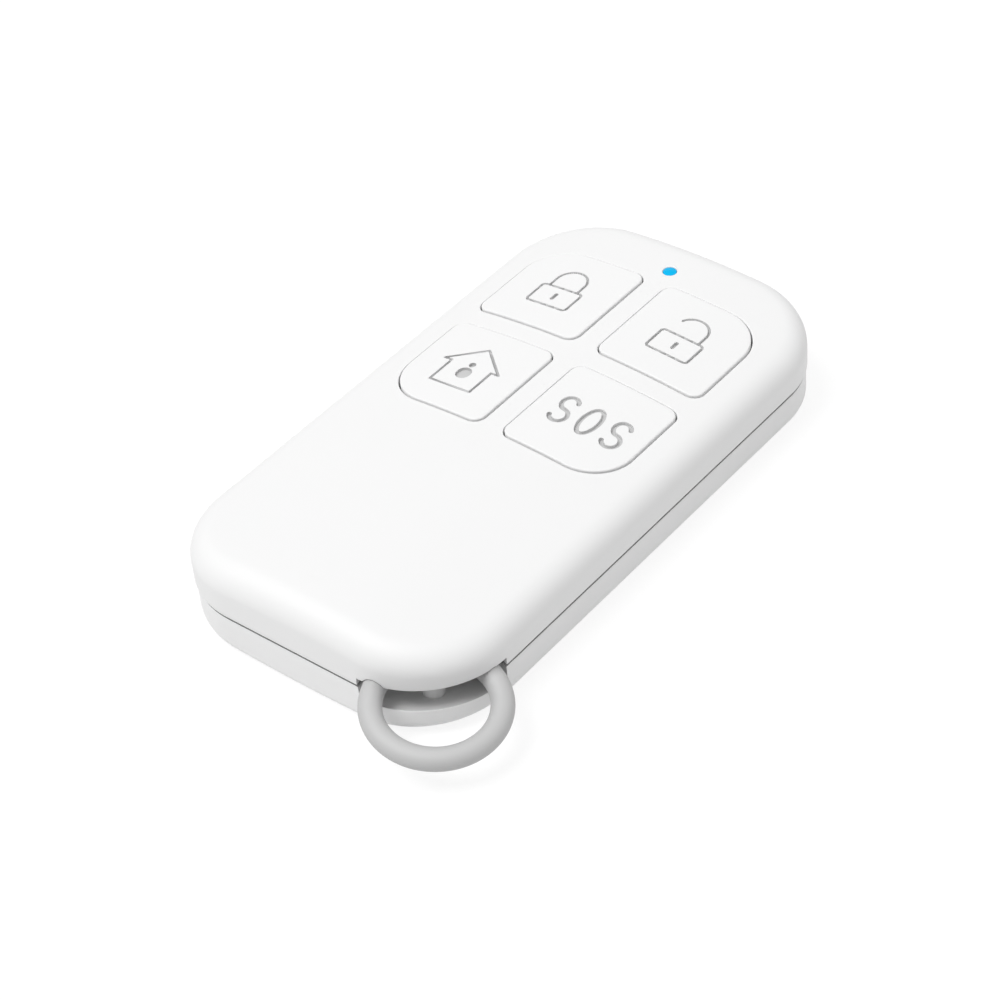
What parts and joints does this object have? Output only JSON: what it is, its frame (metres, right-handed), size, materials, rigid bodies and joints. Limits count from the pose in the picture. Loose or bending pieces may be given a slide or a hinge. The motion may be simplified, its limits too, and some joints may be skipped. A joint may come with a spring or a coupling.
{
  "type": "alarm key fob",
  "caption": "Slim white wireless alarm key fob with a crowned two-part case, push keys with symbols, a blue status light and a key ring in one corner.",
  "frame": {"origin": "centre of the flat strip along the rear cover's base, under the middle of the case", "axes": "+Y along the case towards the status light, +Z out of the key face, +X to the right seen from above"},
  "size_m": [0.0367, 0.0643, 0.0099],
  "materials": {
    "case_plastic": "satin moulded white plastic",
    "key_plastic": "satin moulded white plastic",
    "light_pipe": "clear blue moulded rod",
    "led_body": "cast resin",
    "board_laminate": "solder-masked glass laminate",
    "chip_epoxy": "moulded epoxy",
    "tinned_metal": "tinned",
    "plated_can": "gilt plated can",
    "copper_track": "etched copper",
    "resistor_body": "fired film on ceramic",
    "capacitor_body": "fired ceramic",
    "cell_steel": "pressed steel can",
    "spring_steel": "nickel plated strip",
    "gilt_contact": "gilt plated leaf",
    "ring_metal": "satin plated wire",
    "switch_body": "moulded nylon",
    "plunger_plastic": "moulded"
  },
  "bodies": {
    "case": {"front_cover": "case_plastic", "rear_cover": "case_plastic", "light_pipe": "light_pipe", "status_led": "led_body", "circuit_board": "board_laminate", "encoder_chip": "chip_epoxy", "encoder_leads": "tinned_metal", "rf_transistor": "chip_epoxy", "saw_resonator": "plated_can", "antenna_loop": "copper_track", "chip_resistors": "resistor_body", "chip_capacitors": "capacitor_body", "coin_cell": "cell_steel", "battery_clip": "spring_steel", "negative_contact": "gilt_contact", "lock_switch": "switch_body", "unlock_switch": "switch_body", "home_switch": "switch_body", "sos_switch": "switch_body"},
    "lock_key": {"lock_button": "key_plastic"},
    "lock_switch_plunger": {"lock_plunger": "plunger_plastic"},
    "unlock_key": {"unlock_button": "key_plastic"},
    "unlock_switch_plunger": {"unlock_plunger": "plunger_plastic"},
    "home_key": {"home_button": "key_plastic"},
    "home_switch_plunger": {"home_plunger": "plunger_plastic"},
    "sos_key": {"sos_button": "key_plastic"},
    "sos_switch_plunger": {"sos_plunger": "plunger_plastic"},
    "ring": {"key_ring": "ring_metal"}
  },
  "joints": [
    {"name": "lock_press", "type": "slide", "parent": "case", "child": "lock_key", "axis": [0, 0, -1], "range_m": [0, 0.0003], "stiffness_N_per_m": 400, "springref_m": -0.0005},
    {"name": "lock_plunger_press", "type": "slide", "parent": "case", "child": "lock_switch_plunger", "axis": [0, 0, -1], "range_m": [0, 0.00035]},
    {"name": "unlock_press", "type": "slide", "parent": "case", "child": "unlock_key", "axis": [0, 0, -1], "range_m": [0, 0.0003], "stiffness_N_per_m": 400, "springref_m": -0.0005},
    {"name": "unlock_plunger_press", "type": "slide", "parent": "case", "child": "unlock_switch_plunger", "axis": [0, 0, -1], "range_m": [0, 0.00035]},
    {"name": "home_press", "type": "slide", "parent": "case", "child": "home_key", "axis": [0, 0, -1], "range_m": [0, 0.0003], "stiffness_N_per_m": 400, "springref_m": -0.0005},
    {"name": "home_plunger_press", "type": "slide", "parent": "case", "child": "home_switch_plunger", "axis": [0, 0, -1], "range_m": [0, 0.00035]},
    {"name": "sos_press", "type": "slide", "parent": "case", "child": "sos_key", "axis": [0, 0, -1], "range_m": [0, 0.0003], "stiffness_N_per_m": 400, "springref_m": -0.0005},
    {"name": "sos_plunger_press", "type": "slide", "parent": "case", "child": "sos_switch_plunger", "axis": [0, 0, -1], "range_m": [0, 0.00035]},
    {"name": "ring_swing", "type": "hinge", "parent": "case", "child": "ring", "pos_m": [0.01247, -0.02624, 0.00457], "axis": [-0.7061, -0.7061, 0.0523], "range_deg": [0, 10]}
  ],
  "couplings": [
    {"joint": "lock_plunger_press", "follows": "lock_press", "ratio": 1},
    {"joint": "unlock_plunger_press", "follows": "unlock_press", "ratio": 1},
    {"joint": "home_plunger_press", "follows": "home_press", "ratio": 1},
    {"joint": "sos_plunger_press", "follows": "sos_press", "ratio": 1}
  ]
}
